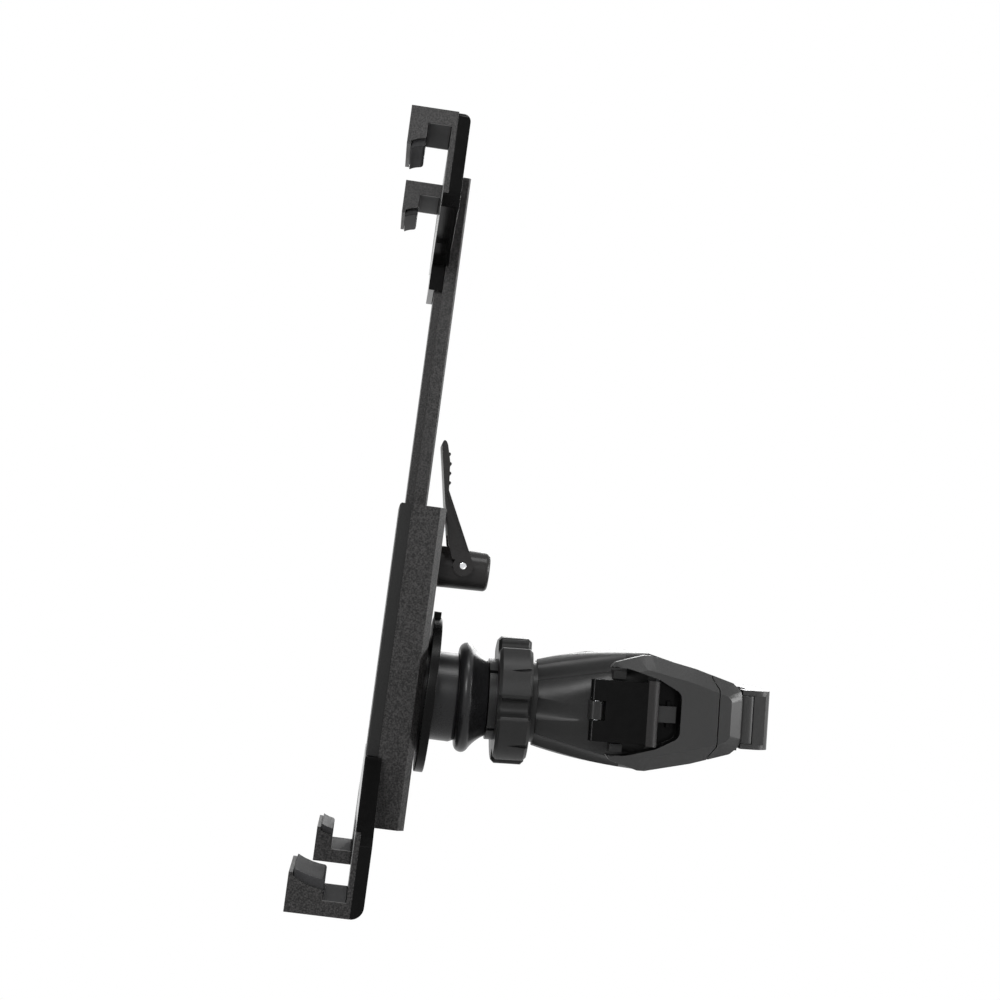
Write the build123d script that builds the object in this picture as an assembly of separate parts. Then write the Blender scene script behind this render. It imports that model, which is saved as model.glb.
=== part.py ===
from build123d import *
import math
import os

# Headrest tablet mount.
# Frame: the headrest post runs along Z through the origin, the cradle lies towards -X,
# and the hinged side of the clamp faces -Y.

# Clearances
running = 0.06
sliding = 0.25
apart = 0.3
seat_gap = 0.15

# Post clamp
post_radius = 7.0
pad_wall = 1.5
pad_half_height = 8.4
pad_half_width = 7.8
pad_gap = 4.0

# Clamp head outline, seen from the side
head_front = -33.6
head_tip_half = 12.2
horn_rise = 1.9
horn_tip_half = 14.6
head_top_x = -23.2
head_half = 17.2
arm_end_half = 17.9
arm_end = -21.0
head_mid_x = -7.4
head_mid_half = 14.2
head_nose_x = 4.3
head_nose_half = 10.6
head_end = 7.7
head_end_half = 6.0
head_edge_taper = 50.0
head_edge_depth = 3.6

# Hinged jaw
door_face = -24.0
door_skirt = 7.0
door_window_end = -11.6
door_window_end_half = 6.6
door_window_mid = -18.5
door_window_mid_half = 10.3
door_window_half = 12.9
door_window_corner = 3.0
head_corner = 1.5
door_recess = 17.2
seam_x = -0.4
seam_bend = 8.5
seam_gap = 0.3
jaw_left = -16.5
jaw_slope = 3.5
hinge_x = 9.0
hinge_y = -18.5
hinge_pin_radius = 1.0
knuckle_radius = 2.5
knuckle_half = 7.1

# Fixed jaw
bracket_end = 16.4
bracket_half = 8.8
ear_reach = 1.6
ear_front = 2.0
bracket_wall = 6.5
bracket_corner = 5.2
jaw_far_face = 17.5
jaw_wall = 4.0
clamp_screw_radius = 2.0
clamp_screw_spread = 20.0
clamp_screw_head = 3.6
clamp_screw_head_height = 2.2
clamp_screw_bite = 9.0

# Arm
arm_front = -53.6
arm_front_radius = 13.3
arm_waist_x = -44.0
arm_waist_half = 15.5
arm_shoulder_x = -33.0
arm_shoulder_half = 17.0
arm_depth = 16.7
flute_count = 7
flute_end = -34.0
flute_radius = 6.0
flute_depth = 1.2
flute_tilt = 15.5
flute_phase = 44.0
collet_radius = 12.4
collet_lip = -68.2
collet_slot = 1.2

# Ring nut
nut_left = -65.8
nut_right = -55.6
nut_radius = 19.5
nut_valley_radius = 2.7
nut_valley_depth = 3.2
nut_lobes = 5
nut_phase = 21.8
nut_edge_round = 1.4
nut_chamfer = 1.0
notch_share = 0.52
notch_half = 1.1
notch_length = 6.6
notch_depth = 0.7

# Dome, dish and neck
dome_x = -84.0
boss_radius = 13.55
dome_rise = 5.5
dome_wall = 3.2
dome_floor = 2.4
dish_mouth = -77.55
dish_rim = -75.3
dish_rim_radius = 16.8
dish_bead = 1.8
dish_mouth_radius = 14.35
neck_start = -68.4
neck_cone_radius = 11.4
neck_radius = 9.5
neck_end = -46.0
tie_radius = 2.5
tie_nut_radius = 5.0
tie_nut_height = 3.4
tie_head_radius = 4.25
tilt_up = 11.4
tilt_down = 18.6
saddle_thickness = 2.6

# Cradle, as distances behind the tablet's back plane and along the lean
lean = 3.6
dome_depth = 19.35
plate_back = 18.4
plate_thickness = 2.8
plate_radius = 23.8
plate_edge = 0.3
swivel_gap = 1.0
swivel_washer_radius = 18.0
index_width = 6.0
index_height = 1.7
spindle_radius = 5.0
spindle_cap_radius = 7.5
spindle_cap_thickness = 1.2
sleeve_depth = 10.4
sleeve_chamfer = 1.9
sleeve_web = 2.8
screw_bite = 6.0
sleeve_half_width = 20.0
sleeve_top = 56.6
sleeve_bottom = -39.9
sleeve_floor = 3.3
cover_depth = 3.7
cover_bottom = -19.0
sleeve_screw_radius = 1.0
sleeve_screw_y = 17.3

# Extension bar
bar_half_width = 15.0
bar_rib_half_width = 13.0
bar_back = 8.6
bar_step = 4.55
bar_front = 2.2
bar_top = 157.2
bar_insert = 30.0
brake_groove = 0.5
brake_groove_half = 5.0

# Arms and claws
arm_plate_front = 1.8
arm_plate_back = 5.3
claw_inner_y = 33.0
claw_outer_y = 62.0
upper_end = 164.6
upper_hub_bottom = 121.9
upper_hub_half = 17.0
upper_nose = 129.5
tongue_half = 14.5
arm_corner = 1.8
upper_round = 2.6
lower_round = 3.6
hub_cap = 1.6
lower_end = -59.6
arm_end_height = 23.0
foot_front = 0.3
tablet_front = -6.3
upper_reach = 5.2
lower_reach_near = 10.0
lower_reach_far = 5.2
claw_floor = 2.2
claw_front_wall = 1.2
claw_side_wall = 1.3
claw_height = 10.9
claw_side_drop = 0.2
claw_slope = 0.36
pad_floor = 2.0
pad_rise = 1.0
pad_slope = 0.22
claw_screw_radius = 1.1
claw_screw_head = 1.9
screw_head_depth = 0.8
screw_skin = 0.8

# Bar lock
lock_w = 39.5
lock_radius = 6.4
lock_end_radius = 5.95
lock_end = 30.6
lock_bore = 3.7
lever_pivot_u = 22.1
lever_rise = 0.9
lever_pin_radius = 1.1
lever_half_width = 8.9
lever_slot_half = 6.7
lever_heel = 3.1
lever_clear = 10.6
rib_radius = 0.55
lever_tip_u = 10.8
lever_tip_rise = 36.6
lever_end_rise = 37.6
lever_knee_u = 12.8
lever_knee_rise = 25.7
brake_travel = 1.0
plunger_back = 26.0
pad_shoe = 1.2

# Latch
latch_x = -36.5
latch_y = -20.6
latch_barrel = 2.1
latch_pin_radius = 1.0
latch_lug_half = 2.7
latch_half = 9.2
latch_end_half = 9.8
lip_length = 3.6
lip_flare = 1.5
latch_end = -18.2
latch_plate = 1.8
link_x = -29.0
link_y = -19.9
link_pin_radius = 0.8
link_half = 2.5
ear_radius = 1.6
ear_thickness = 1.6
link_thickness = 1.2
link_end = -12.5
catch_x = -15.2
catch_width = 1.2
catch_top = 19.0
guard_front = -32.0
guard_back = -28.2
guard_height = 3.8


def block(x0, x1, y0, y1, z0, z1):
    """A box between two corners."""
    size = Box(x1 - x0, y1 - y0, z1 - z0)
    return Pos((x0 + x1) / 2, (y0 + y1) / 2, (z0 + z1) / 2) * size


def rod_x(radius, x0, x1, y=0.0, z=0.0, end_radius=None):
    """A round rod along X, tapered if an end radius is given."""
    tip = radius if end_radius is None else end_radius
    if tip == radius:
        rod = Cylinder(radius, x1 - x0)
    else:
        rod = Cone(radius, tip, x1 - x0)
    return Pos((x0 + x1) / 2, y, z) * Rot(0, 90, 0) * rod


def rod_y(radius, y0, y1, x, z):
    """A round rod along Y."""
    return Pos(x, (y0 + y1) / 2, z) * Rot(90, 0, 0) * Cylinder(radius, y1 - y0)


def rod_z(radius, z0, z1, x, y):
    """A round rod along Z."""
    return Pos(x, y, (z0 + z1) / 2) * Cylinder(radius, z1 - z0)


def outline(plane, points, corner=0.0):
    """A closed face through points on a plane, with rounded corners."""
    face = plane * make_face(Polyline(*points, close=True))
    if corner > 0:
        face = fillet(face.vertices(), corner)
    return face


def side_shape(points, y0, y1, corner=0.0):
    """A side view outline (X, Z) carried through from y0 to y1."""
    return extrude(outline(Plane.XZ.offset(-y1), points, corner), y1 - y0, dir=(0, -1, 0))


def front_shape(points, x0, x1, corner=0.0):
    """A front view outline (Y, Z) carried through from x0 to x1."""
    return extrude(outline(Plane.YZ.offset(x0), points, corner), x1 - x0, dir=(1, 0, 0))


def plan_shape(points, z0, z1, corner=0.0):
    """A plan outline (X, Y) carried up from z0 to z1."""
    return extrude(outline(Plane.XY.offset(z0), points, corner), z1 - z0, dir=(0, 0, 1))


def ball_ended(radius, rim_x, start_x):
    """A turned solid from start_x that ends in a ball about the dome centre behind rim_x."""
    rim = math.sqrt(radius ** 2 - rim_x ** 2)
    half_angle = math.atan2(rim, rim_x) / 2
    middle = (radius * math.cos(half_angle), radius * math.sin(half_angle))
    corners = [(radius, 0), (start_x, 0), (start_x, rim)]
    if start_x < rim_x:
        corners.append((rim_x, rim))
    arc = ThreePointArc(corners[-1], middle, (radius, 0))
    face = Plane.XZ * make_face([Polyline(*corners), arc])
    return revolve(face, Axis.X, 360)


def mirrored(points):
    """Upper outline points followed by their mirror below the first axis."""
    return points + [(x, -z) for x, z in reversed(points)]


def depth(u):
    """Distance from the dome centre of a depth behind the tablet's back plane."""
    return u - dome_depth


def leaned(part):
    """Places a cradle piece: it is drawn upright about the dome centre, then leans."""
    return Pos(dome_x, 0, 0) * Rot(0, lean, 0) * part


# Clamp head

def head_points(inset=0.0):
    """Outline of the clamp head from the side."""
    upper = [
        (head_front + inset, head_tip_half - inset),
        (head_front + horn_rise + inset, horn_tip_half - inset),
        (head_top_x, head_half - inset),
        (arm_end, head_half - inset),
        (head_mid_x, head_mid_half - inset),
        (head_nose_x, head_nose_half - inset),
        (head_end - 0.9 - inset, (head_nose_half + head_end_half) / 2 - inset),
        (head_end - inset, head_end_half - inset),
    ]
    return mirrored(upper)


def bevelled(points, y0, y1):
    """A side view outline with a bevelled near face added in front of y0."""
    body = side_shape(points, y0, y1, head_corner)
    face = outline(Plane.XZ.offset(-y0), points, head_corner)
    return body + extrude(face, head_edge_depth, taper=head_edge_taper)


def head_shell():
    """The near half of the clamp head: straight skirt, then a bevelled face."""
    skirt_end = door_face + head_edge_depth
    return bevelled(head_points(), skirt_end, door_face + door_skirt)


def cap_region(gap):
    """The part of the head behind the seam, which is the rear cap's."""
    right = head_end + 5
    top = head_half + 5
    left = seam_x + gap
    points = mirrored([(left - 2.6, top), (left - 2.0, seam_bend + 3.2), (left, seam_bend)])
    return side_shape([(right, top)] + points + [(right, -top)], door_face - 5, door_face + door_skirt)


def door_core():
    """The jaw's core, from the pad's back to the hinge knuckle."""
    skirt_back = door_face + door_skirt
    jaw_back = -(post_radius + pad_wall)
    points = [
        (jaw_left, skirt_back), (jaw_left + jaw_slope, jaw_back), (hinge_x - 1.4, jaw_back),
        (hinge_x - 1.4, hinge_y), (hinge_x - 4.0, hinge_y - 0.2), (seam_x, skirt_back - 0.5),
    ]
    return plan_shape(points, -knuckle_half, knuckle_half)


def make_clamp_door():
    """Hinged jaw: frame with two horns, jaw block and hinge knuckle."""
    door = head_shell() - cap_region(0.0)
    window = mirrored([
        (head_front - 5, door_window_half + 0.1),
        (head_front + 6, door_window_half),
        (door_window_mid, door_window_mid_half),
        (door_window_end, door_window_end_half),
    ])
    door -= side_shape(window, door_face - 5, -door_recess, door_window_corner)
    arm_zone = block(head_front - 5, jaw_left - 1.2, -door_recess, 0, -head_half - 5, head_half + 5)
    skirt_back = door_face + door_skirt
    door -= side_shape(window, -door_recess, skirt_back, door_window_corner) & arm_zone
    jaw_back = -(post_radius + pad_wall)
    web_right = hinge_x - ear_reach - apart
    web_points = [
        (jaw_left, skirt_back), (jaw_left + jaw_slope, jaw_back),
        (web_right, jaw_back), (web_right, skirt_back),
    ]
    web_half = pad_half_height + 1.2
    door += door_core() + (plan_shape(web_points, -web_half, web_half) - cap_region(0.0))
    door += rod_z(knuckle_radius, -knuckle_half, knuckle_half, hinge_x, hinge_y)
    rib_half = link_half + 1.5
    door += block(catch_x, catch_x + catch_width, -catch_top, -door_recess + 1, -rib_half, rib_half)
    door -= rod_z(hinge_pin_radius + running, -knuckle_half - 1, knuckle_half + 1, hinge_x, hinge_y)
    return door


def make_rear_cap():
    """Rounded cap over the hinge end of the door."""
    cap = (head_shell() & cap_region(seam_gap)) - door_core()
    cap -= rod_z(knuckle_radius + sliding, -head_half, head_half, hinge_x, hinge_y)
    return cap


def jaw_pad(side):
    """Rubber pad with a half-round groove for the post, on the near (-1) or far (+1) jaw."""
    inner = side * pad_gap / 2
    outer = side * (post_radius + pad_wall)
    pad = block(-pad_half_width, pad_half_width, min(inner, outer), max(inner, outer),
                -pad_half_height, pad_half_height)
    return pad - rod_z(post_radius, -pad_half_height - 1, pad_half_height + 1, 0, 0)


def make_clamp_body():
    """Fixed jaw: far wall, rear hinge bracket and the wall that meets the arm."""
    jaw_face = post_radius + pad_wall
    far_points = mirrored([
        (arm_end, arm_end_half), (head_mid_x, head_mid_half), (head_nose_x, head_nose_half),
        (head_end - 0.9, (head_nose_half + head_end_half) / 2), (head_end + 3, bracket_half - 1.5),
    ])
    near_copy = bevelled(far_points, head_edge_depth - jaw_far_face, -jaw_face)
    body = mirror(near_copy, Plane.XZ)
    plan = [
        (head_end - 1.5, jaw_far_face), (bracket_end, jaw_far_face), (bracket_end, hinge_y - ear_front),
        (hinge_x - ear_reach, hinge_y - ear_front), (hinge_x - ear_reach, hinge_y + 5.2),
        (bracket_end - bracket_wall + 0.4, hinge_y + 5.2), (bracket_end - bracket_wall + 0.4, jaw_face),
        (head_end - 1.5, jaw_face),
    ]
    bracket = plan_shape(plan, -bracket_half, bracket_half)
    outer_edges = bracket.edges().filter_by(Axis.Z).group_by(Axis.X)[-1]
    bracket = fillet(outer_edges, bracket_corner)
    pocket_radius = knuckle_radius + apart
    pocket_half = knuckle_half + sliding / 2
    bracket -= rod_z(pocket_radius, -pocket_half, pocket_half, hinge_x, hinge_y)
    bracket -= block(head_end - 10, hinge_x, hinge_y - 8, hinge_y + 9, -pocket_half, pocket_half)
    bracket -= block(hinge_x - 1, hinge_x + pocket_radius, hinge_y - 8, hinge_y, -pocket_half, pocket_half)
    bracket -= rod_z(hinge_pin_radius, -bracket_half - 1, bracket_half + 1, hinge_x, hinge_y)
    body += bracket
    front_wall = block(arm_end, arm_end + jaw_wall, -post_radius, jaw_face, -head_mid_half, head_mid_half)
    body += front_wall
    for z in (-clamp_screw_spread / 2, clamp_screw_spread / 2):
        body -= rod_x(clamp_screw_radius + seat_gap, arm_end - 1, arm_end + jaw_wall + 1, 0, z)
    return body


def make_clamp_screws():
    """Two screws from the post space into the arm."""
    screws = []
    seat = arm_end + jaw_wall
    for z in (-clamp_screw_spread / 2, clamp_screw_spread / 2):
        shank = rod_x(clamp_screw_radius, arm_end - clamp_screw_bite, seat, 0, z)
        head = rod_x(clamp_screw_head, seat, seat + clamp_screw_head_height, 0, z)
        head -= rod_x(clamp_screw_radius * 0.7, seat + 1, seat + 3, 0, z)
        screws.append(shank + head)
    return Compound(children=screws)


def make_door_hinge_pin():
    """Steel pin of the hinged jaw."""
    return rod_z(hinge_pin_radius, -bracket_half, bracket_half, hinge_x, hinge_y)


# Arm

def arm_section(x, half_depth, half_height, corner):
    """A rounded section of the arm across X."""
    return Plane.YZ.offset(x) * RectangleRounded(2 * half_depth, 2 * half_height, corner)


def make_arm_body():
    """Tapering fluted arm with the collet at its front and the latch lug on its side."""
    round_corner = arm_front_radius - 0.1
    sections = [
        arm_section(arm_front, arm_front_radius, arm_front_radius, round_corner),
        arm_section(arm_waist_x, arm_waist_half - 0.5, arm_waist_half, round_corner),
        arm_section(arm_shoulder_x, arm_depth - 0.3, arm_shoulder_half, 10.5),
        arm_section(arm_end, arm_depth, arm_end_half - 0.1, 6.0),
    ]
    arm = loft(sections)
    flute_axis = arm_front_radius - flute_depth + flute_radius
    cutter = Rot(0, -flute_tilt, 0) * rod_x(flute_radius, -4, flute_end - arm_front + 6)
    groove = Pos(arm_front, 0, flute_axis) * cutter
    for i in range(flute_count):
        arm -= Rot(flute_phase + i * 360 / flute_count, 0, 0) * groove
    arm += rod_x(collet_radius, collet_lip, arm_front)
    lug_z = latch_lug_half
    arm += block(latch_x - latch_barrel, latch_x + latch_barrel, latch_y, -arm_depth + 3, -lug_z, lug_z)
    arm += rod_z(latch_barrel, -lug_z, lug_z, latch_x, latch_y)
    guard_low = latch_half + 0.5
    for z0, z1 in ((guard_low, guard_low + 2.4), (-guard_low - 2.4, -guard_low)):
        arm += block(guard_front, guard_back, -arm_depth - guard_height, -arm_depth + 4, z0, z1)
    arm -= rod_x(neck_radius + running, collet_lip - 1, neck_end + 1)
    arm -= rod_x(tie_radius * 2.4, neck_end, neck_end + 6)
    for angle in (45, 135):
        slot = block(collet_lip - 1, arm_front - 1.5, -collet_radius - 1, collet_radius + 1,
                     -collet_slot / 2, collet_slot / 2)
        arm -= Rot(angle, 0, 0) * slot
    arm -= rod_z(latch_pin_radius, -latch_lug_half - 1, latch_lug_half + 1, latch_x, latch_y)
    for z in (-clamp_screw_spread / 2, clamp_screw_spread / 2):
        arm -= rod_x(clamp_screw_radius, arm_end - clamp_screw_bite, arm_end + 1, 0, z)
    return arm


def make_ring_nut():
    """Lobed nut that closes the collet."""
    nut = rod_x(nut_radius, nut_left, nut_right)
    valley_r = nut_radius - nut_valley_depth + nut_valley_radius
    pitch = 360 / nut_lobes
    for i in range(nut_lobes):
        valley = rod_x(nut_valley_radius, nut_left - 1, nut_right + 1, 0, valley_r)
        nut -= Rot(nut_phase + i * pitch, 0, 0) * valley
    nut = fillet(nut.edges().filter_by(Axis.X), nut_edge_round)
    nut = chamfer(nut.faces().filter_by(Axis.X).edges(), nut_chamfer)
    for i in range(nut_lobes):
        mouth = nut_right + 1
        notch = side_shape([(mouth, -notch_half), (mouth, notch_half), (nut_right - notch_length, 0)],
                           -nut_radius - 1, -nut_radius + notch_depth)
        nut -= Rot(nut_phase + (i + notch_share) * pitch - 90, 0, 0) * notch
    nut -= rod_x(collet_radius + running, nut_left - 1, nut_right + 1)
    return nut


# Dish, neck and dome

def seat_radius():
    """Radius of the dome's ball surface about the dome centre."""
    return math.hypot(boss_radius, dome_rise)


def make_dish_socket():
    """Dish whose ball seat carries the dome, with a neck that turns in the collet."""
    mouth = (dish_mouth, dish_mouth_radius)
    crest = (dish_rim, dish_rim_radius)
    flare = (dish_rim + dish_bead, dish_rim_radius - dish_bead * 0.5)
    root = (neck_start, neck_cone_radius)
    front_arc = ThreePointArc(mouth, (dish_mouth + 0.45, dish_rim_radius - 0.95), crest)
    bead_arc = ThreePointArc(crest, (dish_rim + dish_bead * 0.6, dish_rim_radius - dish_bead * 0.14), flare)
    hollow = ((flare[0] + root[0]) / 2 - 0.3, (flare[1] + root[1]) / 2 - 0.3)
    neck = Polyline(root, (neck_start, neck_radius), (neck_end, neck_radius), (neck_end, 0),
                    (dish_mouth, 0), mouth)
    face = make_face([front_arc, bead_arc, ThreePointArc(flare, hollow, root), neck])
    dish = revolve(Plane.XZ * face, Axis.X, 360)
    dish -= Pos(dome_x, 0, 0) * ball_ended(seat_radius() + seat_gap, 1.0, 1.0)
    dish -= rod_x(tie_radius + running, neck_start - 10, neck_end + 1)
    return dish


def saddle_back():
    """Flat back of the saddle washer, measured from the dome centre."""
    return seat_radius() - dome_wall - saddle_thickness - 1.0


def make_saddle_washer():
    """Washer with a ball face that holds the dome from inside."""
    radius = seat_radius() - dome_wall - seat_gap
    cap = ball_ended(radius, saddle_back(), saddle_back()) - rod_x(tie_radius, -1, radius + 1)
    return Pos(dome_x, 0, 0) * cap


def make_tie_bolt():
    """Bolt through dome and neck."""
    head_back = dome_x + saddle_back()
    shank = rod_x(tie_radius, head_back, neck_end + 4)
    head = rod_x(tie_head_radius, head_back - 2.4, head_back)
    return shank + head


def make_tie_nut():
    """Hexagon nut at the neck's inner end."""
    hexagon = Plane.YZ.offset(neck_end) * RegularPolygon(tie_nut_radius, 6)
    bore = rod_x(tie_radius, neck_end - 1, neck_end + tie_nut_height + 1)
    return extrude(hexagon, tie_nut_height) - bore


def make_ball_dome():
    """Boss with a ball end, hollow for the saddle, and the swivel spindle."""
    radius = seat_radius()
    back = depth(plate_back)
    floor = back + dome_floor
    boss = ball_ended(radius, dome_rise, back) - ball_ended(radius - dome_wall, floor, floor)
    slot_angle = math.radians(max(tilt_up + lean, tilt_down - lean)) + math.asin(
        (tie_radius + apart) / (radius - dome_wall))
    slot = Cone(0.01, 20 * math.tan(slot_angle), 20)
    boss -= Pos(10, 0, 0) * Rot(0, 90, 0) * slot
    boss += rod_x(spindle_radius, spindle_front(), back)
    boss -= rod_x(screw_core(), spindle_front() - 1, back + 1)
    return leaned(boss)


def screw_core():
    """Radius of the pivot screw's shank."""
    return spindle_radius * 0.4


def make_swivel_plate():
    """Round plate behind the sleeve, with an index block on its rim."""
    back = depth(plate_back)
    front = depth(plate_back - plate_thickness)
    plate = rod_x(plate_radius, front, back)
    plate = fillet(plate.edges().filter_by(GeomType.CIRCLE), plate_edge)
    plate += block(front + 0.1, back - 0.6, -index_width / 2, index_width / 2,
                   plate_radius - 2, plate_radius + index_height)
    plate -= rod_x(spindle_radius + running, front - 1, back + 1)
    return leaned(plate)


def spindle_front():
    """Front end of the spindle, where its cap washer sits."""
    return depth(plate_back - plate_thickness - swivel_gap) - sleeve_web


def make_pivot_cap_washer():
    """Washer under the pivot screw, which keeps the sleeve on the spindle."""
    x = spindle_front()
    washer = rod_x(spindle_cap_radius, x - spindle_cap_thickness, x)
    return leaned(washer - rod_x(screw_core(), x - 5, x + 1))


def make_pivot_screw():
    """Low head screw in the spindle."""
    x = spindle_front() - spindle_cap_thickness
    screw = rod_x(screw_core(), x, depth(plate_back))
    head = rod_x(screw_core() * 2, x - 1.0, x)
    head -= rod_x(screw_core() * 0.7, x - 2, x - 0.4)
    return leaned(screw + head)


def make_swivel_washer():
    """Low friction disc between the sleeve and the swivel plate."""
    x = depth(plate_back - plate_thickness)
    disc = rod_x(swivel_washer_radius, x - swivel_gap, x)
    return leaned(disc - rod_x(spindle_radius + sliding, x - 5, x + 1))


# Cradle

def sleeve_back_u():
    """Depth of the sleeve's back face."""
    return plate_back - plate_thickness - swivel_gap


def sleeve_split_u():
    """Depth of the joint between the sleeve's two halves."""
    return sleeve_back_u() - sleeve_depth


def screw_places():
    """Side and height of each sleeve screw."""
    heights = (sleeve_top - 6, cover_bottom + 6)
    return [(y, w) for y in (-sleeve_screw_y, sleeve_screw_y) for w in heights]


def make_sleeve_back():
    """Rear housing of the sleeve: channel for the bar, lock bore and spindle bore."""
    back = depth(sleeve_back_u())
    split = depth(sleeve_split_u())
    body = block(split, back, -sleeve_half_width, sleeve_half_width, sleeve_bottom, sleeve_top)
    long_edges = body.edges().filter_by(Axis.Z).group_by(Axis.X)[-1]
    body = chamfer(long_edges, sleeve_chamfer)
    half = bar_half_width + sliding
    channel_back = depth(bar_back) + sliding
    body -= block(split - 1, channel_back, -half, half, sleeve_bottom + sleeve_floor, sleeve_top + 1)
    body -= rod_x(spindle_radius + running, channel_back - 1, back + 1)
    cap_floor = spindle_front() + apart / 2
    body -= rod_x(spindle_cap_radius + sliding, channel_back - 1, cap_floor)
    body -= rod_x(lock_bore + running, channel_back - 1, back + 1, 0, lock_w)
    for y, w in screw_places():
        body -= rod_x(sleeve_screw_radius, split - 1, split + screw_bite, y, w)
    return leaned(body)


def make_sleeve_front():
    """Front cover of the sleeve, with a channel for the bar's rib."""
    split = depth(sleeve_split_u())
    front = split - cover_depth
    side = sleeve_half_width - 0.4
    cover = block(front, split, -side, side, cover_bottom, sleeve_top)
    cover = chamfer(cover.faces().sort_by(Axis.X)[0].edges(), 0.5)
    half = bar_rib_half_width + sliding
    cover -= block(depth(bar_front) - sliding, split + 1, -half, half, cover_bottom - 1, sleeve_top + 1)
    for y, w in screw_places():
        cover -= rod_x(sleeve_screw_radius + 0.1, front - 1, split + 1, y, w)
        cover -= rod_x(sleeve_screw_radius * 1.9, front - 1, front + 1.4, y, w)
    return leaned(cover)


def make_sleeve_screws():
    """Four screws that join the sleeve's halves."""
    front = depth(sleeve_split_u()) - cover_depth
    screws = []
    for y, w in screw_places():
        shank = rod_x(sleeve_screw_radius, front + 1.4, depth(sleeve_split_u()) + screw_bite, y, w)
        head = rod_x(sleeve_screw_radius * 1.8, front + 0.2, front + 1.4, y, w)
        screws.append(leaned(shank + head))
    return Compound(children=screws)


def mirror_y(points):
    """Front view points on the near side followed by their mirror on the far side."""
    return points + [(-y, z) for y, z in reversed(points)]


def claw_screw_places(end, inward):
    """Side and height of the two screws of each of a bracket's claws."""
    middle = (claw_inner_y + claw_outer_y) / 2
    spread = (claw_outer_y - claw_inner_y) / 4
    height = end + inward * arm_end_height * 0.68
    return [(side * (middle + step), height) for side in (-1, 1) for step in (-spread, spread)]


def foot_recesses(end, inward):
    """Recesses in a bracket's front for the feet of its two claws."""
    front = depth(foot_front) - 1
    back = depth(arm_plate_front)
    low, high = sorted((end + inward * (arm_end_height + seat_gap), end - inward))
    near = block(front, back, -claw_outer_y - 1, seat_gap - claw_inner_y, low, high)
    return near + mirror(near, Plane.XZ)


def end_rounding(end, inward, radius):
    """Cutter that rounds the back corner at a bracket's outer end."""
    back = depth(arm_plate_back)
    side = claw_outer_y + 1
    low, high = sorted((end - inward, end + inward * radius))
    corner = block(back - radius, back + 1, -side, side, low, high)
    return corner - rod_y(radius, -side - 1, side + 1, back - radius, end + inward * radius)


def make_upper_arms():
    """Gloss bracket on the bar's top, with an arm to each upper claw."""
    hub_top = bar_top + hub_cap
    shoulder = upper_end - arm_end_height
    near = [
        (-upper_hub_half - 8, hub_top), (-claw_inner_y, upper_end), (-claw_outer_y, upper_end),
        (-claw_outer_y, shoulder), (-claw_outer_y + 4, shoulder - 3),
        (-upper_hub_half - 12, upper_nose + 4), (-upper_hub_half, upper_nose),
    ]
    front = depth(foot_front)
    back = depth(arm_plate_back)
    plate = front_shape(mirror_y(near), front, back, arm_corner)
    plate += block(front, depth(bar_step), -tongue_half, tongue_half, upper_hub_bottom, upper_nose + 4)
    plate -= end_rounding(upper_end, -1, upper_round)
    plate -= foot_recesses(upper_end, -1)
    for gap, low_u in ((bar_half_width, bar_step), (bar_rib_half_width, bar_front)):
        half = gap + seat_gap
        hub_front = depth(low_u) - seat_gap
        plate -= block(hub_front, back + 1, -half, half, upper_hub_bottom - 1, bar_top + seat_gap)
    for y, w in claw_screw_places(upper_end, -1):
        plate -= rod_x(claw_screw_radius, front - 1, back - screw_skin, y, w)
    for w in bar_screw_places():
        plate -= rod_x(claw_screw_radius + 0.1, front - 1, back, 0, w)
        plate -= rod_x(claw_screw_head + 0.1, front - 1, front + screw_head_depth, 0, w)
    return leaned(plate)


def bar_screw_places():
    """Heights of the two screws that hold the upper bracket on the bar."""
    return (bar_top - 9, upper_hub_bottom + 8)


def make_lower_arms():
    """Gloss bracket that closes the sleeve's lower front, with an arm to each lower claw."""
    side = sleeve_half_width + apart
    near = [
        (0, cover_bottom - seat_gap), (-side, cover_bottom - seat_gap), (-side - 6.5, cover_bottom - 1),
        (-claw_outer_y + 4, lower_end + arm_end_height - 0.4),
        (-claw_outer_y, lower_end + arm_end_height - 3),
        (-claw_outer_y, lower_end), (-claw_inner_y, lower_end), (-claw_inner_y + 4, lower_end + 5.6),
        (-side, sleeve_bottom), (0, sleeve_bottom),
    ]
    front = depth(foot_front)
    back = depth(arm_plate_back)
    split = depth(sleeve_split_u())
    half_plate = front_shape(near, front, back)
    plate = half_plate + mirror(half_plate, Plane.XZ)
    plate -= end_rounding(lower_end, 1, lower_round)
    plate -= foot_recesses(lower_end, 1)
    plate -= block(split, back + 1, -side, side, lower_end, sleeve_top)
    half = bar_rib_half_width + sliding
    rib_floor = sleeve_bottom + sleeve_floor
    plate -= block(depth(bar_front) - sliding, split + 1, -half, half, rib_floor, cover_bottom + 1)
    for y, w in claw_screw_places(lower_end, 1):
        plate -= rod_x(claw_screw_radius, front - 1, back - screw_skin, y, w)
    for w in (sleeve_bottom + 1.8, cover_bottom - 4):
        for y in (-sleeve_screw_y, sleeve_screw_y):
            plate -= rod_x(claw_screw_radius, front - 1, front + screw_head_depth, y, w)
    return leaned(plate)


def claw_side_points(reach, rise, slope, floor, front_wall):
    """Side outline of a claw's lip and floor, for a claw whose outer end is at height 0."""
    front = depth(tablet_front - reach) + front_wall
    inner = depth(tablet_front)
    foot = depth(foot_front)
    tip = claw_height + rise
    fall = slope * reach
    hollow = []
    for share in (0.0, 0.25, 0.5, 0.75):
        hollow.append((front + share * (inner - front), tip - fall * (2 * share - share ** 2)))
    return [
        (foot, floor), (front, floor), *hollow, (inner - 0.5, tip - fall), (inner, tip - fall - 0.5),
        (inner, claw_floor + pad_floor), (foot, claw_floor + pad_floor),
    ]


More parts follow.
